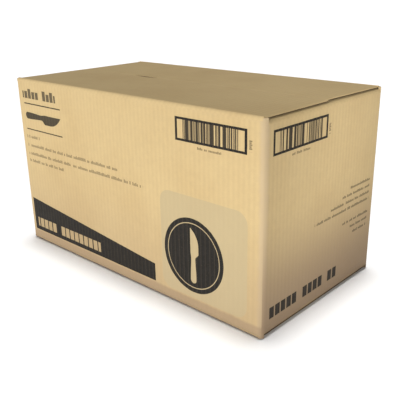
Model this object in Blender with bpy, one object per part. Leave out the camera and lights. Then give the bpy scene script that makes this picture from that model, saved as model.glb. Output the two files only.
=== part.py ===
"""A regular slotted shipping carton of corrugated kraft board, glued shut over wrapped knives.

The board is one folded sheet, so its panels and flaps are modelled as the rigid plates
between the creases. The two long top flaps lie outermost and meet along the middle; the two
short ones lie under them. Each flap turns about the outer edge of its own crease.

Metres, +Z up. The origin is under the middle of the base, +X runs along the length to the
right end and -Y faces the front.
"""

import math

import bmesh
import bpy
from mathutils import Matrix, Vector

# Outside of the closed carton
LENGTH = 0.428
WIDTH = 0.229
HEIGHT = 0.237

# Board, and the inner radii it takes at its creases
BOARD = 0.003
CORNER_INNER_RADIUS = 0.003
CREASE_INNER_RADIUS = 0.001
CORNER_FACETS = 3
CREASE_TANGENTS = 3

# Flaps
SEAM_GAP = 0.001
SLOT_SETBACK = 0.004
SHORT_FLAP_CLEARANCE = 0.0015
SHORT_FLAP_RELIEF = math.radians(7)

# Hot-melt glue
GLUE_LINE = 0.0009
GLUE_THICKNESS = 0.0003
GLUE_BEAD_WIDTH = 0.008
GLUE_BEAD_LENGTH = 0.085
GLUE_BEAD_INSET = 0.015
GLUE_BEADS_PER_FLAP = 4

# Manufacturer's joint, inside the left end at the back corner
TAB_WIDTH = 0.035
TAB_END_CLEARANCE = 0.004
TAB_TAPER = 0.008
TAB_GLUE_WIDTH = 0.02

# Wrapped knives: rows end to end along the length, columns side by side, layers up
ROWS = ("left", "right")
COLUMNS = 7
LAYERS = 72
SHORTER_COLUMNS = (2, 4, 5, 7)
HEADSPACE = 0.0141
ROW_GAP = 0.002
COLUMN_GAP = 0.0008
PACKET_SIDE_CLEARANCE = 0.0014
PACKET_END_CLEARANCE = 0.0015
CRIMP_LENGTH = 0.009
CRIMP_RISE = 0.02
CRIMP_THICKNESS = 0.0004
PACKET_CROWN = 0.6

# Clearance between pieces that touch
GAP = 0.0003

CORNER_RADIUS = CORNER_INNER_RADIUS + BOARD
CREASE_RADIUS = CREASE_INNER_RADIUS + BOARD
MITRE = math.radians(45)
FLAP_DEPTH = (WIDTH - SEAM_GAP) / 2
TUCK = BOARD + GLUE_LINE

KRAFT = (0.60, 0.42, 0.22)
KRAFT_INSIDE = (0.52, 0.36, 0.19)
GLUE = (0.80, 0.66, 0.34)
WRAPPED = (0.82, 0.84, 0.86)

# Each side looks outwards along -Y before it is turned into place:
# name, turn about +Z, distance from the middle to its outer face, half its width
SIDES = (
    ("front", 0, WIDTH / 2, LENGTH / 2),
    ("right_end", 90, LENGTH / 2, WIDTH / 2),
    ("back", 180, WIDTH / 2, LENGTH / 2),
    ("left_end", 270, LENGTH / 2, WIDTH / 2),
)


def clear_scene():
    for obj in list(bpy.data.objects):
        bpy.data.objects.remove(obj, do_unlink=True)


def material(name, colour, roughness):
    made = bpy.data.materials.new(name)
    made.use_nodes = True
    shader = made.node_tree.nodes["Principled BSDF"]
    shader.inputs["Base Color"].default_value = (*colour, 1.0)
    shader.inputs["Roughness"].default_value = roughness
    shader.inputs["Metallic"].default_value = 0.0
    return made


def add_object(name, bm, colour, roughness, place=None, parent=None):
    """Turns the bmesh into an object at place, a world matrix, under an optional parent."""
    bmesh.ops.recalc_face_normals(bm, faces=bm.faces)
    mesh = bpy.data.meshes.new(name)
    bm.to_mesh(mesh)
    bm.free()
    mesh.materials.append(material(name, colour, roughness))
    obj = bpy.data.objects.new(name, mesh)
    bpy.context.scene.collection.objects.link(obj)
    obj.parent = parent
    if parent is not None:
        obj.matrix_parent_inverse = parent.matrix_world.inverted()
    obj.matrix_world = place or Matrix.Identity(4)
    bpy.context.view_layer.update()
    return obj


def prism(outline, low, high):
    """A closed prism over an outline in X and Y, from low to high in Z."""
    bm = bmesh.new()
    base = bm.faces.new([bm.verts.new((x, y, low)) for x, y in outline])
    top = bmesh.ops.extrude_face_region(bm, geom=[base])
    raised = [v for v in top["geom"] if isinstance(v, bmesh.types.BMVert)]
    bmesh.ops.translate(bm, verts=raised, vec=(0, 0, high - low))
    return bm


def rectangle(x0, x1, y0, y1):
    return [(x0, y0), (x1, y0), (x1, y1), (x0, y1)]


def slice_off(bm, point, normal):
    """Cuts away what lies beyond the plane, on the side that its normal points to, and caps it."""
    whole = bm.verts[:] + bm.edges[:] + bm.faces[:]
    bmesh.ops.bisect_plane(
        bm, geom=whole, plane_co=point, plane_no=normal, clear_outer=True
    )
    rim = [edge for edge in bm.edges if edge.is_boundary]
    if rim:
        bmesh.ops.holes_fill(bm, edges=rim, sides=0)


def round_crease(bm, reach, level, up):
    """Rounds the outer edge at y = -reach, z = level with planes tangent to the crease."""
    centre = Vector((0, CREASE_RADIUS - reach, level - up * CREASE_RADIUS))
    for i in range(CREASE_TANGENTS):
        angle = math.pi / 2 * (i + 0.5) / CREASE_TANGENTS
        normal = Vector((0, -math.cos(angle), up * math.sin(angle)))
        slice_off(bm, centre + normal * CREASE_RADIUS, normal)


def mitre_crease(bm, reach, level, up, angle, keep_flap):
    """Ends a plate on the plane that leaves the crease's outer edge at angle below level."""
    normal = Vector((0, math.sin(angle), up * math.cos(angle)))
    if keep_flap:
        normal = -normal
    edge = Vector((0, -reach, level))
    slice_off(bm, edge - normal * GAP / 2, normal)


def side_place(turn):
    return Matrix.Rotation(math.radians(turn), 4, "Z")


def is_short(side):
    return side.endswith("_end")


def crease_levels(side):
    """Heights of the bottom and top creases: a short side's flaps tuck inside the long ones."""
    tuck = TUCK if is_short(side) else 0.0
    return tuck, HEIGHT - tuck


def panel_section(reach, half):
    """A panel from above, with half of the rounded corner at either end."""
    sweep = MITRE - math.asin(GAP / 2 / CORNER_INNER_RADIUS)
    angles = [sweep * i / CORNER_FACETS for i in range(CORNER_FACETS + 1)]
    centre_x = half - CORNER_RADIUS
    centre_y = CORNER_RADIUS - reach
    outer = [
        (centre_x + CORNER_RADIUS * math.sin(a), centre_y - CORNER_RADIUS * math.cos(a))
        for a in angles
    ]
    inner = [
        (centre_x + CORNER_INNER_RADIUS * math.sin(a), centre_y - CORNER_INNER_RADIUS * math.cos(a))
        for a in reversed(angles)
    ]
    right = outer + inner
    left = [(-x, y) for x, y in reversed(right)]
    return right + left


def make_panel(side, turn, reach, half):
    bottom, top = crease_levels(side)
    angle = MITRE + (SHORT_FLAP_RELIEF if is_short(side) else 0.0)
    bm = prism(panel_section(reach, half), bottom, top)
    for level, up in ((top, 1), (bottom, -1)):
        round_crease(bm, reach, level, up)
        mitre_crease(bm, reach, level, up, angle, keep_flap=False)
    add_object(f"{side}_panel", bm, KRAFT, 0.85, side_place(turn))


def make_flap(end, side, turn, reach, half):
    """A flap as it lies closed, with its origin on the outer edge of its crease."""
    bottom, top = crease_levels(side)
    up = 1 if end == "top" else -1
    level = top if end == "top" else bottom
    inset = BOARD + SHORT_FLAP_CLEARANCE if is_short(side) else SLOT_SETBACK
    low, high = sorted((0.0, -up * BOARD))
    bm = prism(rectangle(inset - half, half - inset, 0, FLAP_DEPTH), low, high)
    round_crease(bm, 0, 0, up)
    mitre_crease(bm, 0, 0, up, MITRE, keep_flap=True)
    place = side_place(turn) @ Matrix.Translation((0, -reach, level))
    return add_object(f"{end}_{side}_flap", bm, KRAFT, 0.85, place)


def make_flap_glue(end, side, turn, reach, half, flap):
    """Beads along a short flap, on the face that the long flaps close on."""
    bottom, top = crease_levels(side)
    face, up = (top, 1) if end == "top" else (bottom, -1)
    low, high = sorted((face + up * GAP, face + up * (GAP + GLUE_THICKNESS)))
    near = GLUE_BEAD_INSET - reach
    spacing = 2 * half / GLUE_BEADS_PER_FLAP
    for i in range(GLUE_BEADS_PER_FLAP):
        middle = (i + 0.5) * spacing - half
        outline = rectangle(
            middle - GLUE_BEAD_WIDTH / 2,
            middle + GLUE_BEAD_WIDTH / 2,
            near,
            near + GLUE_BEAD_LENGTH,
        )
        name = f"{end}_{side}_glue_{i + 1}"
        add_object(name, prism(outline, low, high), GLUE, 0.4, side_place(turn), flap)


def make_joint():
    """The tab that closes the sheet into a sleeve, glued inside the left end, and its glue."""
    inner = BOARD - LENGTH / 2
    back = WIDTH / 2 - BOARD - GAP
    front = back - TAB_WIDTH
    bottom, top = crease_levels("left_end")
    low = bottom + BOARD + TAB_END_CLEARANCE
    high = top - BOARD - TAB_END_CLEARANCE
    outline = [(back, low), (back, high), (front, high - TAB_TAPER), (front, low + TAB_TAPER)]
    stand_up = Matrix(((0, 0, 1, 0), (1, 0, 0, 0), (0, 1, 0, 0), (0, 0, 0, 1)))
    tab = prism(outline, inner + GLUE_LINE, inner + GLUE_LINE + BOARD)
    corner = Vector((WIDTH / 2 - CORNER_RADIUS, 0, CORNER_RADIUS - LENGTH / 2))
    normal = Vector((1, 0, -1)).normalized()
    slice_off(tab, corner + normal * (CORNER_INNER_RADIUS - GAP), normal)
    add_object("joint_tab", tab, KRAFT_INSIDE, 0.85, stand_up)
    margin = (TAB_WIDTH - TAB_GLUE_WIDTH) / 2
    strip = rectangle(front + margin, front + margin + TAB_GLUE_WIDTH, low + TAB_TAPER, high - TAB_TAPER)
    glue = prism(strip, inner + GAP, inner + GAP + GLUE_THICKNESS)
    add_object("joint_glue", glue, GLUE, 0.4, stand_up)


def packet_bm(half_length, half_width, thickness):
    """A flat film packet: crimped at both ends and crowned along its middle."""
    stations = (
        (-half_length, CRIMP_THICKNESS),
        (CRIMP_LENGTH - half_length, CRIMP_THICKNESS),
        (CRIMP_LENGTH + CRIMP_RISE - half_length, thickness),
    )
    stations += tuple((-x, depth) for x, depth in reversed(stations))
    crown = half_width * PACKET_CROWN
    bm = bmesh.new()
    loops = []
    for x, depth in stations:
        ring = (
            (-half_width, 0),
            (-crown, -depth / 2),
            (crown, -depth / 2),
            (half_width, 0),
            (crown, depth / 2),
            (-crown, depth / 2),
        )
        loops.append([bm.verts.new((x, y, z)) for y, z in ring])
    for first, second in zip(loops, loops[1:]):
        for i in range(len(first)):
            j = (i + 1) % len(first)
            bm.faces.new((first[i], first[j], second[j], second[i]))
    bm.faces.new(loops[0])
    bm.faces.new(loops[-1])
    return bm


def make_contents():
    """Columns of packets: the lower layers as one block, the top packet on its own."""
    floor = TUCK + BOARD + GAP
    ceiling = HEIGHT - TUCK - BOARD - HEADSPACE
    layer = (ceiling - floor) / LAYERS
    left = -LENGTH / 2 + TUCK + BOARD + PACKET_END_CLEARANCE
    right = LENGTH / 2 - BOARD - PACKET_END_CLEARANCE
    length = (right - left - ROW_GAP) / 2
    span = WIDTH - 2 * (BOARD + PACKET_SIDE_CLEARANCE)
    width = (span - (COLUMNS - 1) * COLUMN_GAP) / COLUMNS
    for row, start in zip(ROWS, (left, right - length)):
        for column in range(COLUMNS):
            front = -span / 2 + column * (width + COLUMN_GAP)
            layers = LAYERS - (column + 1 in SHORTER_COLUMNS)
            top = floor + layers * layer
            outline = rectangle(start, start + length, front, front + width)
            stack = prism(outline, floor, top - layer)
            add_object(f"stack_{row}_{column + 1}", stack, WRAPPED, 0.5)
            thickness = layer - GAP
            packet = packet_bm(length / 2, width / 2, thickness)
            middle = (start + length / 2, front + width / 2, top - thickness / 2)
            place = Matrix.Translation(middle)
            add_object(f"packet_{row}_{column + 1}", packet, WRAPPED, 0.25, place)


def build():
    clear_scene()
    for side in SIDES:
        make_panel(*side)
        for end in ("top", "bottom"):
            flap = make_flap(end, *side)
            if is_short(side[0]):
                make_flap_glue(end, *side, flap)
    make_joint()
    make_contents()


build()
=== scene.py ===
import math

import bmesh
import bpy
import numpy as np
from mathutils import Matrix, Vector


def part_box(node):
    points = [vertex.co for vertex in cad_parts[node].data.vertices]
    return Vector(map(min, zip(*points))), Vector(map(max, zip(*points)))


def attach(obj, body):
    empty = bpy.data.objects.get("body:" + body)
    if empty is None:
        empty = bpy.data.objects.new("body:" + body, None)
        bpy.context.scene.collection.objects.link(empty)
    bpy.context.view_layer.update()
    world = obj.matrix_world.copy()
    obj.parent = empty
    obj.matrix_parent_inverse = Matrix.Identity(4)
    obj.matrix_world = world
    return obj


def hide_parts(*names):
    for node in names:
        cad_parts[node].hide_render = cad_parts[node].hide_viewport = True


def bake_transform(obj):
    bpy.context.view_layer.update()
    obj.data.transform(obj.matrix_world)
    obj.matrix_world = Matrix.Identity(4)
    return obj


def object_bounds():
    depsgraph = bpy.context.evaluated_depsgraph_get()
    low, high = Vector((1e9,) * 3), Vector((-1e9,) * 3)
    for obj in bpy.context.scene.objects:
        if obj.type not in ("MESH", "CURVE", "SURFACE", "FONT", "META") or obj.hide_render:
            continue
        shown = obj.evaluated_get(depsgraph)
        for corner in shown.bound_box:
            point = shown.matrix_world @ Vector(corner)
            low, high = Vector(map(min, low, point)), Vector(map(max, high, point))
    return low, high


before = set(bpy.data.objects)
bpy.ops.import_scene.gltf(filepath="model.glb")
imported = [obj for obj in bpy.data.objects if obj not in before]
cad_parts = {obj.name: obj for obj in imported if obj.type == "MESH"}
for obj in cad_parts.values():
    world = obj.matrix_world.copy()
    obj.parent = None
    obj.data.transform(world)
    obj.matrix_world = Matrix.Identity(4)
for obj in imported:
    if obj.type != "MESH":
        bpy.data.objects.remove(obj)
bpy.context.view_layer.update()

# The sheet. One blank of B-flute corrugated board, die-cut, creased and folded: an outer and an
# inner kraft liner glued to the tips of a wavy medium whose flutes stand upright in the walls.
# Every plate below is built from these three layers, and every wall or flap keeps to its place.
half_length, half_width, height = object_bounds()[1]
short_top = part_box("top_right_end_flap")[1].z
short_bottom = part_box("bottom_right_end_flap")[0].z
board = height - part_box("top_front_flap")[0].z
flap_depth = half_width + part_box("top_front_flap")[1].y
slot_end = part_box("top_front_flap")[1].x
short_flap_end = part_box("top_right_end_flap")[1].y
liner = 0.0003
medium = 0.0002
flute_pitch = 0.0066
washboard = 0.00012
corner_radius = 0.006
crease_radius = 0.004

# name: quarter turns about +Z, reach of its outer face, half its width, its two crease levels
sides = {
    "front": (0, half_width, half_length, 0.0, height),
    "right_end": (1, half_length, half_width, short_bottom, short_top),
    "back": (2, half_width, half_length, 0.0, height),
    "left_end": (3, half_length, half_width, short_bottom, short_top),
}


def turned(side, across, out, level):
    """Points seen from a side: across it to the right, out from the middle, and up."""
    quarter = sides[side][0] * math.pi / 2
    x = across * math.cos(quarter) + out * math.sin(quarter)
    y = across * math.sin(quarter) - out * math.cos(quarter)
    return np.stack(np.broadcast_arrays(x, y, level), axis=-1)


def solid(outer, inner, finish=0):
    """A closed shape between two grids of points that match, each rows x columns x 3."""
    rows, columns = outer.shape[:2]
    index = np.arange(rows * columns).reshape(rows, columns)
    cells = np.stack([index[:-1, :-1], index[:-1, 1:], index[1:, 1:], index[1:, :-1]], -1)
    rim = np.concatenate([index[0], index[1:, -1], index[-1, -2::-1], index[-2:0:-1, 0]])
    after = np.roll(rim, -1)
    back = rows * columns
    walls = np.stack([rim, rim + back, after + back, after], -1)
    faces = np.concatenate([cells.reshape(-1, 4), cells.reshape(-1, 4)[:, ::-1] + back, walls])
    return np.concatenate([outer.reshape(-1, 3), inner.reshape(-1, 3)]), faces, finish


def board_shapes(place, start, stop, rows):
    """Outer liner, inner liner and fluted medium of one plate, from start to stop along it."""
    flutes = (stop - start) / flute_pitch
    along, row = np.meshgrid(np.linspace(start, stop, 1 + round(flutes * 6)), rows)
    near = (1 + np.cos(2 * np.pi * along / flute_pitch)) / 2
    dip = washboard * near
    rise = washboard * (1 - near)
    outer = solid(place(along, row, dip), place(along, row, dip + liner), 0)
    inner = solid(place(along, row, board - liner - rise), place(along, row, board - rise), 1)
    along, row = np.meshgrid(np.linspace(start, stop, 1 + round(flutes * 14)), rows)
    swing = board / 2 - liner - medium / 2 - washboard
    wave = 2 * np.pi * along / flute_pitch
    slope = swing * 2 * np.pi / flute_pitch * np.sin(wave)
    half = medium / 2 * np.sqrt(1 + slope**2)
    middle = board / 2 + swing * np.cos(wave)
    fluted = solid(place(along, row, middle - half), place(along, row, middle + half), 2)
    return [outer, inner, fluted]


def piece(name, shapes, finishes, body=None, stands_for=(), sharp=35):
    """One named piece from its closed shapes, riding on a body and standing for CAD nodes."""
    points, faces, marks, start = [], [], [], 0
    for shape_points, shape_faces, finish in shapes:
        points.append(shape_points)
        faces.append(shape_faces + start)
        marks += [finish] * len(shape_faces)
        start += len(shape_points)
    mesh = bpy.data.meshes.new(name)
    mesh.from_pydata(np.concatenate(points).tolist(), [], np.concatenate(faces).tolist())
    mesh.polygons.foreach_set("material_index", marks)
    bm = bmesh.new()
    bm.from_mesh(mesh)
    bmesh.ops.recalc_face_normals(bm, faces=bm.faces)
    bm.to_mesh(mesh)
    bm.free()
    mesh.shade_smooth()
    mesh.set_sharp_from_angle(angle=math.radians(sharp))
    for finish in finishes:
        mesh.materials.append(finish)
    made = bpy.data.objects.new(name, mesh)
    bpy.context.scene.collection.objects.link(made)
    if body is not None:
        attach(made, body)
    if stands_for:
        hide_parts(*stands_for)
    return made


# The papers. Both liners are unbleached kraft with their fibres along the sheet, across the
# flutes, and the medium is a thinner, browner paper, darkened further as painted shade of its
# flute hollows. Liners show fibre flecks, cloudy tone and a faint line at each flute, partly the
# board's own tone and partly painted shade of the washboard valleys; folds are rubbed, and
# painted shade darkens the foot of the walls, the ends most.
class Shade:
    """A socket of a finish's nodes. Sums, products and comparisons of sockets add Math nodes."""

    def __init__(self, tree, socket=None):
        self.tree = tree
        self.socket = socket

    def node(self, kind, settings=None, inputs=None, output=0):
        """A node of a kind, its settings made first, fed with values or other shades."""
        made = self.tree.nodes.new("ShaderNode" + kind)
        for key, value in (settings or {}).items():
            setattr(made, key, value)
        for key, value in (inputs or {}).items():
            if isinstance(value, Shade):
                self.tree.links.new(value.socket, made.inputs[key])
            else:
                made.inputs[key].default_value = value
        return Shade(self.tree, made.outputs[output])

    def math(self, operation, *values):
        return self.node("Math", {"operation": operation}, dict(enumerate(values or (self,))))

    def __add__(self, other):
        return self.math("ADD", self, other)

    def __radd__(self, other):
        return self.math("ADD", other, self)

    def __sub__(self, other):
        return self.math("SUBTRACT", self, other)

    def __rsub__(self, other):
        return self.math("SUBTRACT", other, self)

    def __mul__(self, other):
        return self.math("MULTIPLY", self, other)

    def __rmul__(self, other):
        return self.math("MULTIPLY", other, self)

    def __truediv__(self, other):
        return self.math("DIVIDE", self, other)

    def __pow__(self, other):
        return self.math("POWER", self, other)

    def __lt__(self, other):
        return self.math("LESS_THAN", self, other)

    def __gt__(self, other):
        return self.math("GREATER_THAN", self, other)

    def __or__(self, other):
        return self.math("MAXIMUM", self, other)

    def __and__(self, other):
        return self.math("MINIMUM", self, other)

    def within(self, low, high):
        return (self > low) * (self < high)

    def rising(self, low, high):
        """0 below low and 1 above high, with a soft step between them."""
        settings = {"interpolation_type": "SMOOTHSTEP"}
        return self.node("MapRange", settings, {"Value": self, "From Min": low, "From Max": high})

    def noise(self, scale, detail=2.0, stretch=(1, 1, 1)):
        """Cloudy noise around one half, at so many cells to the metre, stretched by axis."""
        stretched = self.node("VectorMath", {"operation": "MULTIPLY"}, {0: self, 1: stretch})
        inputs = {"Vector": stretched, "Scale": scale, "Detail": detail}
        return self.node("TexNoise", None, inputs, "Fac")

    def dice(self, seed):
        """A random value for each whole number, in another order for each seed."""
        inputs = {"W": self + seed * 1.618}
        return self.node("TexWhiteNoise", {"noise_dimensions": "1D"}, inputs, "Value")

    def between(self, low, high):
        """A colour mixed from two by this share."""
        settings = {"data_type": "RGBA", "clamp_factor": True}
        return self.node("Mix", settings, {0: self, 6: low, 7: high}, 2)

    def darkened(self, shade):
        """This colour multiplied by a shade of grey."""
        settings = {"data_type": "RGBA", "blend_type": "MULTIPLY"}
        return self.node("Mix", settings, {0: 1.0, 6: self, 7: shade}, 2)

    def bump(self, distance):
        """The surface tilted as if this height, times a distance, stood on it."""
        inputs = {"Height": self, "Distance": distance, "Strength": 0.5}
        return self.node("Bump", None, inputs, "Normal")


def new_finish(name, constants=None):
    """A finish with its constant values, its shader, and its point in space as point, x, y, z."""
    made = bpy.data.materials.new(name)
    made.use_nodes = True
    shader = made.node_tree.nodes["Principled BSDF"]
    for key, value in (constants or {}).items():
        shader.inputs[key].default_value = value
    point = Shade(made.node_tree).node("TexCoord", None, None, "Object")
    sockets = point.node("SeparateXYZ", None, {0: point}).socket.node.outputs
    return made, shader, point, [Shade(made.node_tree, socket) for socket in sockets]


def lay_on(shader, **sources):
    """Links the sockets of a shader to what varies over the surface."""
    for key, source in sources.items():
        source.tree.links.new(source.socket, shader.inputs[key.replace("_", " ").title()])


kraft = (0.475, 0.352, 0.176, 1.0)
kraft_shadow = (0.440, 0.320, 0.156, 1.0)
kraft_inside = (0.40, 0.295, 0.155, 1.0)
kraft_inside_shadow = (0.33, 0.235, 0.118, 1.0)
rubbed = (0.44, 0.335, 0.205, 1.0)
# the brown of the painted shade at the foot of the walls and on the base flaps and creases
painted_shade_brown = (0.27, 0.190, 0.118, 1.0)
ink = (0.010, 0.008, 0.006, 1.0)
matt = {"Specular IOR Level": 0.2}
tint_ink = (0.36, 0.295, 0.175, 1.0)
end_grain = (1, 1, 14)


def paper(point, across, grain, light, dark):
    """Kraft paper: colour, roughness and height, with its fibres and flute lines, partly painted
    shade.
    """
    clouds = point.noise(14, 3)
    mottle = point.noise(170, 4)
    fibres = point.noise(260, 3, grain)
    flecks = point.noise(900, 1, grain).rising(0.66, 0.78)
    wave = (across * (2 * math.pi / flute_pitch)).math("COSINE")
    uneven = 0.60 + (0.7 + (across / flute_pitch).math("ROUND").dice(3) * 0.6) * 0.4
    shade = 0.84 + clouds * 0.06 + mottle * 0.13 + fibres * 0.13
    # flute lines: partly the board's own tone, partly painted shade of the washboard valleys
    shade = shade - wave * uneven * 0.021 - flecks * 0.10
    colour = clouds.rising(0.35, 0.75).between(light, dark).darkened(shade)
    return colour, 0.68 + mottle * 0.24, fibres * 0.6 + mottle, mottle, wave


def wall_finish(side, printing):
    """The outer liner of a wall: its print, its rubbed corners and painted shade at its foot."""
    made, shader, point, (x, y, z) = new_finish(f"{side}_outer_liner", matt)
    quarter, reach, half = sides[side][:3]
    across = [x + half, y + half, half - x, half - y][quarter]
    colour, roughness, relief, mottle, wave = paper(point, across, end_grain, kraft, kraft_shadow)
    from_corner = (across & (2 * half - across)) + (mottle - 0.5) * 0.004
    colour = (0.75 - from_corner.rising(0.003, 0.009) * 0.75).between(colour, rubbed)
    # painted shade: a band at the very foot and a darkening that fades out upwards, strongest on
    # the end walls
    painted_foot_band_shade = 1 - (z + (mottle - 0.5) * 0.003).rising(0.0125, 0.0165)
    painted_foot_falloff_shade = (1 - z.rising(0.015, 0.145)) * (0.95 if quarter % 2 else 0.38)
    colour = (painted_foot_band_shade * 0.45 + painted_foot_falloff_shade).between(colour, painted_shade_brown)
    wobble = (mottle - 0.5) * 0.0005
    inked, tinted = printing(across + wobble, z + wobble)
    colour = (tinted * 0.62).between(colour, tint_ink)
    pinholes = point.noise(700, 2).rising(0.60, 0.76)
    cover = inked * (1.0 - pinholes * 0.09 - wave.rising(0.5, 1.0) * 0.035)
    lay_on(shader, base_color=cover.between(colour, ink), roughness=roughness - inked * 0.08)
    lay_on(shader, normal=relief.bump(0.00015))
    return made


def flap_finish(name, direction, grain, light=kraft, dark=kraft_shadow, glued=None):
    """The liner of the flaps whose creases run along a direction, torn where they were glued."""
    made, shader, point, place = new_finish(name, matt)
    across = place["xyz".index(direction)]
    colour, roughness, relief, mottle, wave = paper(point, across, grain, light, dark)
    if glued is not None:
        torn = glued(*place) * (0.55 + point.noise(420, 3).rising(0.42, 0.58) * 0.45)
        colour = (torn * 0.7).between(colour, (0.46, 0.355, 0.205, 1.0))
        relief = relief + torn * point.noise(500, 4) * 2.0
    lay_on(shader, base_color=colour, roughness=roughness, normal=relief.bump(0.00015))
    return made


def medium_finish():
    """The fluted paper, browner than the liners and darkened further as painted shade of its flute
    hollows.
    """
    made, shader, point, _ = new_finish("kraft_fluting_painted_dark", matt)
    grey = point.noise(300, 3)
    # painted shade: these browns are darkened to stand for the shade inside the flutes
    lay_on(shader, base_color=grey.between((0.08, 0.055, 0.028, 1.0), (0.14, 0.10, 0.05, 1.0)))
    lay_on(shader, roughness=0.8 + grey * 0.2, normal=grey.bump(0.0001))
    return made


fluting = medium_finish()
long_liner = flap_finish("long_flap_liner", "x", (1, 14, 1))
short_liner = flap_finish("short_flap_liner", "y", (14, 1, 1))
# painted shade: the base flaps and base creases get darker browns for the shade under the carton
long_base_liner_painted_shade = flap_finish("long_base_liner_painted_shade", "x", (1, 14, 1), painted_shade_brown, kraft_inside_shadow)
short_base_liner_painted_shade = flap_finish("short_base_liner_painted_shade", "y", (14, 1, 1), painted_shade_brown, kraft_inside_shadow)
inner_liner = flap_finish("inner_liner", "x", end_grain, kraft_inside, kraft_inside_shadow)


# The print. One dark flexographic ink on the flat sheet before folding: a framed row of bars,
# lines of blank blocks where words would be, a tapering stripe, and a plate with a table knife.
def word_row(u, v, left, right, low, high, step, seed, short=0.26):
    """Upright blank blocks with a space here and there; short is how much shorter some are."""
    cell = (u / step).math("FLOOR")
    tall = high - (high - low) * short * (cell.dice(seed + 0.5) < 0.55)
    drawn = (cell.dice(seed) > 0.12) * ((u / step).math("FRACT") > 0.2)
    return u.within(left, right) * (v > low) * (v < tall) * drawn


def code_panel(u, v, left, low):
    """A framed row of upright bars of made-up widths, with small blank captions by it."""
    width, tall, side_rule, rule = 0.0973, 0.0256, 0.0032, 0.0026
    outside = u.within(left, left + width) * v.within(low, low + tall)
    inside = u.within(left + side_rule, left + width - side_rule)
    inside = inside * v.within(low + rule, low + tall - rule)
    narrow = (u / 0.00095).math("FLOOR").dice(left) > 0.5
    wide = (u / 0.0029).math("FLOOR").dice(left + 7) > 0.5
    bars = (narrow | wide * 0.5) * u.within(left + 0.0105, left + 0.0865)
    below = word_row(u, v, left + 0.0315, left + 0.0645, low - 0.0058, low - 0.0030, 0.0020, 5)
    beside = word_row(v, u, low + 0.0035, low + 0.0150, left + 0.0998, left + 0.1035, 0.0019, 6)
    return outside * (1 - inside) | inside * bars * 0.95 | (below | beside) * 0.60


def knife_mark(along, across, length, width):
    """A table knife: a handle with a rounded end, and a blade that curves up to its tip."""
    reach = along / length
    rounding = (1 - ((0.06 - reach) / 0.06 | 0.0) ** 2) ** 0.5
    handle = 0.36 - reach.rising(0.10, 0.46) * 0.10
    heel = reach.rising(0.46, 0.56)
    back = rounding * (handle + heel * 0.08)
    edge = rounding * (handle + heel * 0.40) - ((reach - 0.66) / 0.34 | 0.0) ** 2.6
    return reach.within(0.0, 1.0) * (across < back * width) * ((0 - across) < edge * width)


def front_printing(u, v):
    """The ink and the pale tint on a long wall, by distance along it and height."""
    rules = u.within(0.0155, 0.0995) * (v.within(0.2030, 0.2046) | v.within(0.1672, 0.1688))
    heading = word_row(u, v, 0.0140, 0.0905, 0.2110, 0.2240, 0.0085, 11)
    sign = knife_mark(u - 0.0165, v - 0.1872, 0.082, 0.0130)
    faint = word_row(u, v, 0.0137, 0.0440, 0.1550, 0.1592, 0.0026, 21)
    faint = faint | word_row(u, v, 0.0140, 0.2080, 0.1427, 0.1469, 0.0026, 31)
    faint = faint | word_row(u, v, 0.0140, 0.2530, 0.1307, 0.1349, 0.0026, 41)
    faint = faint | word_row(u, v, 0.0140, 0.0950, 0.1203, 0.1245, 0.0026, 51)
    stripe = u.within(0.0095, 0.2680) * (v > 0.0160) * (v < (0.0657 - u * 0.1))
    knocked_out = word_row(u, v, 0.0170, 0.1630, 0.0220, 0.0357, 0.0104, 61, 0.0)
    plate_u, plate_v = u - 0.3310, v - 0.0680
    radius = (plate_u * plate_u + plate_v * plate_v) ** 0.5
    plate = (radius < 0.0450) * (1 - radius.within(0.0385, 0.0395))
    laid_knife = knife_mark(v - 0.0345, 0.3315 - u, 0.067, 0.0120)
    tint_u = ((u - 0.3445).math("ABSOLUTE") - 0.0485) | 0.0
    tint_v = ((v - 0.0770).math("ABSOLUTE") - 0.0460) | 0.0
    tint = (tint_u * tint_u + tint_v * tint_v) ** 0.5 < 0.015
    drawn = rules * 0.92 | heading * 0.80 | sign * 0.92 | faint * 0.55
    drawn = drawn | stripe * (1 - knocked_out * 0.85) | plate * (1 - laid_knife)
    return drawn | code_panel(u, v, 0.3090, 0.1978), tint


def end_printing(u, v):
    """The ink on a short wall, which has no tint."""
    drawn = code_panel(u, v, 0.0125, 0.1972)
    drawn = drawn | word_row(u, v, 0.0120, 0.1467, 0.0200, 0.0332, 0.0104, 71, 0.0) * 0.95
    starts = (0.1683, 0.1507, 0.1260, 0.0933, 0.1527, 0.1700, 0.1800)
    for row, start in enumerate(starts):
        level = 0.1257 - 0.0083 * row - 0.0088 * (row > 3)
        line = word_row(u, v, start, 0.2150, level - 0.0015, level + 0.0018, 0.0023, row)
        drawn = drawn | line * 0.66
    return drawn, u.within(0.0, 0.0)


# The walls. Front, right end, back and left end are one sleeve, rounded where the sheet bends at
# its four upright creases. Small tongues of board stand at the corners between the flap slots.
def wall_points(side):
    """A wall's points by place across it, level and depth in the board, round both corners."""
    reach, half = sides[side][1:3]
    flat = half - corner_radius

    def place(across, level, depth):
        bend = np.clip(np.abs(across) - flat, 0, None) / corner_radius
        radius = corner_radius - depth
        along = np.sign(across) * (np.minimum(np.abs(across), flat) + radius * np.sin(bend))
        return turned(side, along, reach - corner_radius + radius * np.cos(bend), level)

    return place


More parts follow.
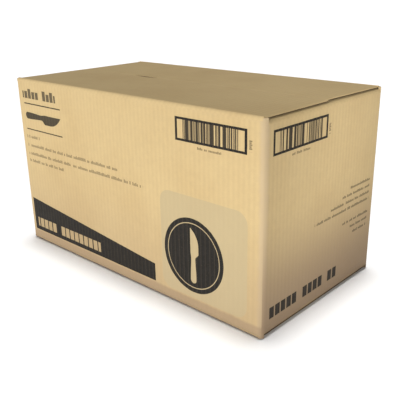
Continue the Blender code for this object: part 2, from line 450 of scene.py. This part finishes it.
tongue_inset = 0.0012
for side, (quarter, reach, half, bottom, top) in sides.items():
    place = wall_points(side)
    end = half - corner_radius + corner_radius * math.pi / 4
    low, high = bottom + crease_radius, top - crease_radius
    shapes = board_shapes(place, -end, end, np.linspace(low, high, 9))
    slot = slot_end if quarter % 2 == 0 else short_flap_end
    slot_turn = math.asin(np.clip((slot - half + corner_radius) / corner_radius, 0, 1))
    post = half - corner_radius + corner_radius * slot_turn
    for sign in (-1, 1):
        along = np.linspace(sign * post, sign * end, 7)
        for first, last in ((high, height - tongue_inset), (tongue_inset, low)):
            grid = np.meshgrid(along, np.linspace(first, last, 3))
            shapes.append(solid(place(*grid, 0.0), place(*grid, board), 0))
    printing = front_printing if quarter % 2 == 0 else end_printing
    finishes = [wall_finish(side, printing), inner_liner, fluting]
    piece(f"{side}_wall", shapes, finishes, "carton", [f"{side}_panel"])

# The maker's joint. A tab on the back wall turns in behind the left end, and a strip of glue
# holds it there. It is the only joint in the sleeve; its ends are cut at a slant.
tab_low, tab_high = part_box("joint_tab")
tab_taper = 0.008
tab_corner_clearance = 0.0008


def tab_points(across, row, depth):
    """The tab's points: row runs from -1 at its lower slanted end to 1 at its upper one."""
    share = (across - tab_low.y) / (tab_high.y - tab_low.y)
    half = (tab_high.z - tab_low.z) / 2 - tab_taper * (1 - share)
    level = (tab_high.z + tab_low.z) / 2 + row * half
    return np.stack(np.broadcast_arrays(tab_low.x + depth, across, level), axis=-1)


def glue_finish():
    """Set glue: amber, clouded with bubbles, and glossy where it isn't frosted."""
    cloudy = {"Subsurface Weight": 0.15, "Subsurface Scale": 0.002}
    made, shader, point, _ = new_finish("glue", cloudy)
    cloud = point.noise(350, 3)
    bubbles = point.noise(1400, 2).rising(0.60, 0.70)
    colour = cloud.between((0.62, 0.42, 0.14, 1.0), (0.78, 0.62, 0.34, 1.0))
    lay_on(shader, base_color=(bubbles * 0.6).between(colour, (0.85, 0.76, 0.55, 1.0)))
    lay_on(shader, roughness=0.18 + cloud * 0.4, normal=(cloud + bubbles).bump(0.0002))
    return made


glue = glue_finish()


def ribbon(node, long, thin, seed):
    """A squeezed ribbon of glue in a CAD bead's box, with ragged sides and rounded ends."""
    low, high = (np.array(corner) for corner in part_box(node))
    wide = 3 - long - thin
    length, reach = high[long] - low[long], (high[wide] - low[wide]) / 2
    share = 0.5 - 0.5 * np.cos(np.linspace(0, np.pi, 61))
    share, side = np.meshgrid(share, np.linspace(-1, 1, 9))
    from_end = np.minimum(share, 1 - share) * length / reach
    rounding = np.sqrt(np.maximum(1 - np.clip(1 - from_end, 0, 1) ** 2, 0.02))
    ragged = 0.85 + 0.08 * np.sin(23 * share + seed) + 0.06 * np.sin(61 * share + 2.3 * seed)
    drift = 0.05 * np.sin(9 * share + 1.7 * seed)
    crown = (high[thin] - low[thin]) / 2 * (1 - 0.7 * np.abs(side) ** 4)
    faces = []
    for sign in (1, -1):
        grid = np.zeros(share.shape + (3,))
        grid[..., long] = low[long] + share * length
        grid[..., wide] = (low[wide] + high[wide]) / 2 + reach * rounding * (side * ragged + drift)
        grid[..., thin] = (low[thin] + high[thin]) / 2 + sign * crown
        faces.append(grid)
    return solid(*faces)


tab_end = tab_high.y - tab_corner_clearance
tab_shapes = board_shapes(tab_points, tab_low.y, tab_end, np.linspace(-1, 1, 9))
tab_finishes = [inner_liner, inner_liner, fluting]
piece("maker_joint_tab", tab_shapes, tab_finishes, "carton", ["joint_tab"])
strip = ribbon("joint_glue", 2, 0, 4.0)
piece("maker_joint_glue", [strip], [glue], "carton", ["joint_glue"])


# The base. The two short flaps fold in first, ribbons of hot melt go across them, and the two
# long ones close over them. Each flap bends from its wall in a crease of crushed board.
def crease(side, end, finish, body=None):
    """The quarter bend between a wall and its flap at one end of the carton."""
    reach, half, bottom, top = sides[side][1:]
    level, up = (top, 1) if end == "top" else (bottom, -1)
    half = slot_end if sides[side][0] % 2 == 0 else short_flap_end
    turns = np.pi / 4 + np.pi / 4 * np.linspace(-1, 1, 33) ** 3
    along, turn = np.meshgrid(np.linspace(-half, half, 1 + round(half / 0.002)), turns)
    grids = []
    for depth in (0.0, board):
        radius = crease_radius - depth
        out = reach - crease_radius + radius * np.cos(turn)
        grids.append(turned(side, along, out, level - up * (crease_radius - radius * np.sin(turn))))
    return piece(f"{end}_{side}_crease", [solid(*grids)], [finish], body)


def flap(side, end, finishes, body, settle=None):
    """A closed flap, with an optional way that it has settled out of its flat place."""
    reach, half, bottom, top = sides[side][1:]
    level, up = (top, 1) if end == "top" else (bottom, -1)
    half = slot_end if sides[side][0] % 2 == 0 else short_flap_end

    def place(along, inward, depth):
        if settle is not None:
            along, inward, depth = settle(along, inward, depth)
        return turned(side, along, reach - inward, level - up * depth)

    shapes = board_shapes(place, -half, half, np.linspace(crease_radius, flap_depth, 17))
    node = f"{end}_{side}_flap"
    return piece(f"{end}_{side}_board", shapes, finishes, body, [node])


def hot_melt(side, end, body):
    """The four ribbons of glue on the outside of a short flap."""
    for bead in range(1, 5):
        node = f"{end}_{side}_glue_{bead}"
        shape = ribbon(node, 0, 2, bead * 1.9)
        piece(f"{end}_{side}_bead_{bead}", [shape], [glue], body, [node])


# the base creases and flaps wear the painted shade liners
for side in ("left_end", "right_end"):
    crease(side, "bottom", short_base_liner_painted_shade, "carton")
    flap(side, "bottom", [short_base_liner_painted_shade, inner_liner, fluting], "carton")
    hot_melt(side, "bottom", "carton")
for side in ("front", "back"):
    crease(side, "bottom", long_base_liner_painted_shade, "carton")
    flap(side, "bottom", [long_base_liner_painted_shade, inner_liner, fluting], "carton")


# The stacks. Wrapped table knives lie flat in columns, two rows end to end; each stack is every
# packet of its column below the top one, film against film, so its sides show the layers.
def stack_finish():
    """The sides of a stack: creased film over white, its tone changing from layer to layer."""
    made, shader, point, (x, y, z) = new_finish("stacked_wrappers", {"Coat Roughness": 0.12})
    layer_tone = (z / layer_pitch).math("FLOOR").dice(2)
    creases = point.noise(90, 3, (1, 1, 5))
    colour = creases.between((0.66, 0.68, 0.70, 1.0), (0.86, 0.87, 0.88, 1.0))
    lay_on(shader, base_color=colour.darkened(0.82 + layer_tone * 0.18))
    lay_on(shader, roughness=0.18 + creases * 0.35, coat_weight=0.3 + layer_tone * 0.5)
    lay_on(shader, normal=creases.bump(0.0006))
    return made


columns = [f"{row}_{column}" for row in ("left", "right") for column in range(1, 8)]
layer_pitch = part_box("packet_left_1")[1].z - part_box("stack_left_1")[1].z
stacked = stack_finish()
for column in columns:
    low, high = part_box(f"stack_{column}")
    layers = round((high.z - low.z) / layer_pitch)
    pitch = (high.z - low.z) / layers
    levels = [(low.z + pitch * step / 2, 0.0008 * (step % 2 == 0)) for step in range(2 * layers)]
    levels += [(high.z - pitch / 6, 0.0035), (high.z, 0.009)]
    middle, reach = (low + high) / 2, (high - low) / 2
    turn = np.linspace(0, 2 * np.pi, 28, endpoint=False)
    box_x = np.sign(np.cos(turn)) * np.abs(np.cos(turn)) ** 0.16
    box_y = np.sign(np.sin(turn)) * np.abs(np.sin(turn)) ** 0.16
    rings = []
    for level, inset in levels:
        x = middle.x + (reach.x - inset) * box_x
        y = middle.y + (reach.y - inset) * box_y
        rings.append(np.stack([x, y, np.full(len(turn), level)], -1))
    count = len(turn)
    index = np.arange(len(rings) * count).reshape(len(rings), count)
    ahead = np.roll(index, -1, axis=1)
    quads = np.stack([index[:-1], ahead[:-1], ahead[1:], index[1:]], -1).reshape(-1, 4)
    hubs = len(rings) * count
    caps = [[hubs + 1, index[-1, i], ahead[-1, i]] for i in range(count)]
    caps += [[hubs, ahead[0, i], index[0, i]] for i in range(count)]
    ends = [[middle.x, middle.y, low.z], [middle.x, middle.y, high.z]]
    mesh = bpy.data.meshes.new(f"wrapped_stack_{column}")
    mesh.from_pydata(np.concatenate(rings + [ends]).tolist(), [], quads.tolist() + caps)
    mesh.shade_smooth()
    mesh.set_sharp_from_angle(angle=math.radians(40))
    mesh.materials.append(stacked)
    stack = bpy.data.objects.new(mesh.name, mesh)
    bpy.context.scene.collection.objects.link(stack)
    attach(stack, "carton")
    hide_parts(f"stack_{column}")


# The top packets. Each is a moulded white polystyrene table knife, with a rim round its handle
# and a finely serrated edge, in a sleeve of clear film that is crimped shut at both ends.
def styrene_finish():
    """Moulded white plastic, glossy with a slight haze."""
    glow_through = {"Subsurface Weight": 0.1, "Subsurface Scale": 0.002}
    made, shader, point, _ = new_finish("white_polystyrene", glow_through)
    haze = point.noise(60, 2)
    grain = point.noise(1500, 2)
    lay_on(shader, base_color=haze.between((0.83, 0.83, 0.81, 1.0), (0.90, 0.90, 0.885, 1.0)))
    lay_on(shader, roughness=0.22 + haze * 0.16, normal=grain.bump(0.00002))
    return made


def film_finish():
    """Clear film: nearly invisible where it is smooth, and milky where it is creased or crimped."""
    made, shader, point, (x, y, z) = new_finish("clear_film")
    folds = point.noise(70, 3, (1, 3, 1)).rising(0.48, 0.72)
    crackle = point.noise(260, 3)
    from_middle = (x.math("ABSOLUTE") - film_middle).math("ABSOLUTE")
    crimped = from_middle.rising(film_reach - crimp - 0.001, film_reach - crimp + 0.001)
    ribs = crimped * ((x * (2 * math.pi / 0.0012)).math("COSINE") * 0.5 + 0.5)
    lay_on(shader, base_color=folds.between((0.80, 0.84, 0.88, 1.0), (0.95, 0.96, 0.97, 1.0)))
    lay_on(shader, alpha=0.12 + folds * 0.20 + crimped * (0.22 + ribs * 0.12))
    lay_on(shader, roughness=0.06 + crackle * 0.12 + crimped * 0.2)
    lay_on(shader, normal=(folds * 1.5 + crackle * 0.4 + ribs).bump(0.0006))
    return made


film_low, film_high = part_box("packet_right_1")
film_middle = (film_low.x + film_high.x) / 2
film_reach = (film_high.x - film_low.x) / 2
crimp = 0.009
crimp_half_thickness = 0.00012
knife_length = 0.180
handle_share = 0.5
film = film_finish()
styrene = styrene_finish()


def film_sleeve(middle, reach, seed):
    """A flat sleeve of film, puffed over the knife and pressed into ribs at its crimped ends."""
    x = np.linspace(-reach.x, reach.x, 201)
    x, y = np.meshgrid(x, np.linspace(-reach.y, reach.y, 25))
    swell = np.clip((reach.x - crimp - np.abs(x)) / 0.005, 0, 1)
    swell = swell * swell * (3 - 2 * swell)
    off = np.clip((np.abs(y) / reach.y - 0.5) / 0.5, 0, 1)
    crumple = 0.86 + 0.07 * np.sin(95 * x + 240 * y + seed)
    crumple = crumple + 0.07 * np.sin(210 * x - 130 * y + 2 * seed)
    half = (reach.z - crimp_half_thickness) * swell * (1 - off**2) * np.clip(crumple, 0, 1)
    sides_in = 1 - 0.03 * (1 - swell) - 0.012 * np.sin(60 * x + seed) ** 2
    ribs = (1 - swell) * 0.0001 * np.sin(2 * np.pi * x / 0.0024)
    layers = []
    for sign in (1, -1):
        z = middle.z + ribs + sign * (half + crimp_half_thickness)
        layers.append(np.stack([middle.x + x, middle.y + y * sides_in, z], -1))
    return solid(*layers)


def table_knife(middle, facing, seed):
    """A table knife lying flat: facing is 1 with its tip to +X, and -1 with its tip to -X."""
    handle = np.linspace(0.0, handle_share, 49)
    blade = np.linspace(handle_share, 1.0, 121)[1:]
    along = np.concatenate([handle, blade])
    end_round = np.sqrt(np.clip(1 - np.clip((0.045 - along) / 0.045, 0, 1) ** 2, 0.03, 1))
    waist = np.exp(-(((along - handle_share) / 0.035) ** 2)) * 0.0012
    handle_half = (0.0078 - 0.0026 * along / handle_share) * end_round
    bulge = np.clip((along - handle_share) / 0.5, 0, 1)
    tip = np.sqrt(np.clip(1 - np.clip((bulge - 0.72) / 0.28, 0, 1) ** 2.4, 0.012, 1))
    on_grip = along <= handle_share
    back = np.where(on_grip, handle_half, 0.0052 + 0.0022 * bulge)
    edge = np.where(on_grip, handle_half, 0.0052 + 0.0046 * np.sin(bulge * np.pi * 0.62))
    teeth = 0.00035 * (np.arange(len(along)) % 2) * (bulge > 0.1) * (bulge < 0.93)
    back = back * np.where(bulge > 0, tip, 1) - waist
    edge = edge * np.where(bulge > 0, tip, 1) - waist - teeth
    side = np.array([-1.0, -0.93, -0.80, -0.70, -0.35, 0.0, 0.35, 0.70, 0.80, 0.93, 1.0])
    along, side_grid = np.meshgrid(along, side)
    across = np.where(side_grid > 0, side_grid * back, side_grid * edge)
    on_handle = np.clip((handle_share - along) / 0.03, 0, 1) * np.clip(along / 0.03, 0, 1)
    rim = np.where(np.abs(side_grid) > 0.75, 0.00092, 0.00050)
    rounded = np.where(np.abs(side_grid) > 0.99, 0.45, 1.0)
    ground = 0.00062 - 0.0003 * np.clip(-side_grid, 0, 1) ** 2
    half = (on_handle * rim + (1 - on_handle) * ground) * rounded
    skew = math.radians(0.7) * math.sin(5 * seed)
    x = (along - 0.5) * knife_length * facing
    y = across * facing + x * skew
    x, y = middle.x + x, middle.y + y
    return solid(*[np.stack([x, y, middle.z + sign * half], -1) for sign in (1, -1)])


for seed, column in enumerate(columns):
    low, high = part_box(f"packet_{column}")
    middle, reach = (low + high) / 2, (high - low) / 2
    facing = 1 if seed % 2 else -1
    knife = table_knife(middle, facing, seed)
    piece(f"table_knife_{column}", [knife], [styrene], "carton", sharp=25)
    sleeve = film_sleeve(middle, reach, seed)
    node = f"packet_{column}"
    piece(f"film_wrapper_{column}", [sleeve], [film], "carton", [node])

# The short top flaps. They fold in over the packets first and carry the hot melt. Their creases
# are fixed quarter bends from the wall to the flap.
flap_bodies = {side: f"{side}_flap" for side in sides}


def bending_crease(side, finish):
    """A top crease: a fixed quarter bend from its wall to its flap."""
    reach, half, bottom, top = sides[side][1:]
    made = crease(side, "top", finish)
    wall_side = turned(side, 0.0, reach - board, top - crease_radius)
    flap_side = turned(side, 0.0, reach - crease_radius, top - board)
    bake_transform(made)


for side in ("left_end", "right_end"):
    bending_crease(side, short_liner)
    flap(side, "top", [short_liner, inner_liner, fluting], flap_bodies[side])
    hot_melt(side, "top", flap_bodies[side])

# The long top flaps. They close over the short ones, meet along the middle and are glued down.
# The back one has slipped a little askew, and the front one has sunk where it was pressed least.
seam_closing = 0.0003
end_sag = 0.0006
edge_crush, crushed_width = 0.0010, 0.003
slip = 0.0036
slit_middle, slit_reach, slit_pull, slit_drop = -0.072, 0.034, 0.0014, 0.0006


def settled(side):
    """How a long top flap lies: ends sagging and crushed, one slit open, the back one askew."""

    def settle(along, inward, depth):
        x = along if side == "front" else -along
        share = inward / flap_depth
        inward = inward + seam_closing * share
        near_end = np.clip((np.abs(x) - slot_end + crushed_width) / crushed_width, 0, 1) ** 2
        depth = depth + edge_crush * near_end * (1 - depth / board)
        depth = depth + end_sag * np.clip((np.abs(x) - 0.15) / (slot_end - 0.15), 0, 1) ** 2
        if side == "front":
            slit = np.cos(np.clip((x - slit_middle) / slit_reach, -1, 1) * np.pi / 2) ** 2
            inward = inward - slit_pull * slit * share**12
            depth = depth + slit_drop * slit * share**6
        else:
            along = along * (1 - slip / slot_end * share * (x > 0))
        return along, inward, depth

    return settle


def glue_marks(x, y, z):
    """Where the ribbons of hot melt pulled at the inner liner of the long flaps."""
    ragged = x.node("TexCoord", None, None, "Object").noise(300, 3) - 0.5
    bead_low, bead_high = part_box("top_right_end_glue_4")
    spacing = bead_low.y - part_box("top_right_end_glue_3")[0].y
    between_rows = (bead_low.y + bead_high.y - spacing) / 2
    from_row = ((y.math("ABSOLUTE") - between_rows).math("ABSOLUTE") - spacing / 2).math("ABSOLUTE")
    along = (x.math("ABSOLUTE") + ragged * 0.010).within(bead_low.x, bead_high.x)
    return along * (from_row + ragged * 0.006 < 0.0042)


torn_tones = (kraft_inside, kraft_inside_shadow)
torn_liner = flap_finish("torn_inner_liner", "x", (1, 14, 1), *torn_tones, glue_marks)
for side in ("front", "back"):
    bending_crease(side, long_liner)
    flap(side, "top", [long_liner, torn_liner, fluting], flap_bodies[side], settled(side))

# Studio. A wide pale floor has an overhead lamp to itself, which keeps it white and draws the
# shadow round the carton's foot. The key comes from the front left, and two spots light the
# right end. The camera stands off the corner between the front and the right end.
floor_reach, floor_level = 30.0, -0.0002
floor_corners = [(-1, -1), (1, -1), (1, 1), (-1, 1)]
floor_points = [(x * floor_reach, y * floor_reach, floor_level) for x, y in floor_corners]
floor_mesh = bpy.data.meshes.new("floor")
floor_mesh.from_pydata(floor_points, [], [(0, 1, 2, 3)])
floor = bpy.data.objects.new("floor", floor_mesh)
bpy.context.scene.collection.objects.link(floor)
pale = {"Base Color": (0.9, 0.9, 0.9, 1.0), "Roughness": 0.9}
floor_mesh.materials.append(new_finish("pale_floor", pale)[0])


def lamp(name, kind, location, target, power, **settings):
    """A lamp at a place, turned to a target."""
    made = bpy.data.objects.new(name, bpy.data.lights.new(name, kind))
    made.data.energy = power
    if kind == "SPOT":
        made.data.spot_blend = 1.0
        made.data.shadow_soft_size = 0.12
    for key, value in settings.items():
        setattr(made.data, key, value)
    made.location = location
    way = Vector(target) - Vector(location)
    made.rotation_euler = way.to_track_quat("-Z", "Y").to_euler()
    bpy.context.scene.collection.objects.link(made)
    return made


key = lamp("key", "SUN", (-0.7, -2.2, 1.25), (0, 0, 0), 3.15, angle=math.radians(60))
wash = lamp("floor_wash", "SUN", (-0.06, 0.10, 2.0), (0, 0, 0), 3.0, angle=math.radians(16))
for light, state in ((key, "EXCLUDE"), (wash, "INCLUDE")):
    receivers = bpy.data.collections.new(f"{light.name}_receivers")
    receivers.objects.link(floor)
    receivers.collection_objects[0].light_linking.link_state = state
    light.light_linking.receiver_collection = receivers
high_cone, low_cone = math.radians(14.5), math.radians(9.5)
lamp("end_high", "SPOT", (1.45, -0.25, 0.55), (0.214, 0.035, 0.205), 52, spot_size=high_cone)
lamp("end_low", "SPOT", (1.30, -0.60, 0.40), (0.214, -0.10, 0.08), 40, spot_size=low_cone)
world = bpy.data.worlds.new("studio")
world.use_nodes = True
way = Shade(world.node_tree).node("TexCoord", None, None, "Generated")
up = way.node("SeparateXYZ", None, {0: way}, 2)
glow = up.rising(0.07, 0.32).between((1.0, 1.0, 1.0, 1.0), (0.26, 0.26, 0.26, 1.0))
world.node_tree.links.new(glow.socket, world.node_tree.nodes["Background"].inputs["Color"])
bpy.context.scene.world = world
bpy.context.scene.view_settings.view_transform = "Standard"

centre = Vector((0, 0, height / 2))
camera = bpy.data.objects.new("camera", bpy.data.cameras.new("camera"))
camera.data.lens = 53.48
camera.data.sensor_width = 36
camera.location = centre + half_length * 2 * Vector((1.2484, -1.2794, 0.5440))
aim = Matrix.Rotation(math.radians(43.07), 4, "Z") @ Matrix.Rotation(math.radians(70.16), 4, "X")
camera.rotation_euler = (aim @ Matrix.Rotation(math.radians(-1.04), 4, "Z")).to_euler()
bpy.context.scene.collection.objects.link(camera)
bpy.context.scene.camera = camera
